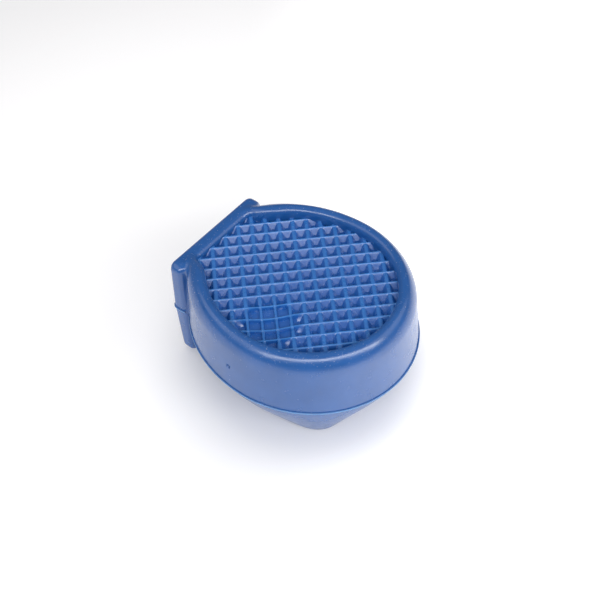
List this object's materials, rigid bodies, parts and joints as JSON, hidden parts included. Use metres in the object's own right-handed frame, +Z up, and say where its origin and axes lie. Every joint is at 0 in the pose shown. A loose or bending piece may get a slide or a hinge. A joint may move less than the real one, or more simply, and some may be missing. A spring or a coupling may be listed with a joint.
{
  "type": "case opening friction ball",
  "caption": "Soft one-colour rubber hand ball with a recessed pit-textured oval face, a flat side pad and a squarish foot, pressed and turned on a screw-on watch case back.",
  "frame": {"origin": "on the resting surface, under the middle of the bounding box, on the mirror plane", "axes": "+Z up, out of the big gripping face; +X away from the side pad, towards the rounded front; Y along the pad"},
  "size_m": [0.0562, 0.0496, 0.0327],
  "materials": {
    "rubber_body": "satin, as moulded, polished by the mould on the rim",
    "rubber_grip": "satin pits with sharp bright ridges"
  },
  "bodies": {
    "root": {"grip_face": "rubber_grip", "rim_bead": "rubber_body", "upper_shell": "rubber_body", "drum_flash": "rubber_body", "lower_shell": "rubber_body", "foot_pad": "rubber_body", "foot_grip": "rubber_grip", "side_pad": "rubber_body", "side_grip": "rubber_grip", "pad_flash": "rubber_body"}
  },
  "joints": []
}
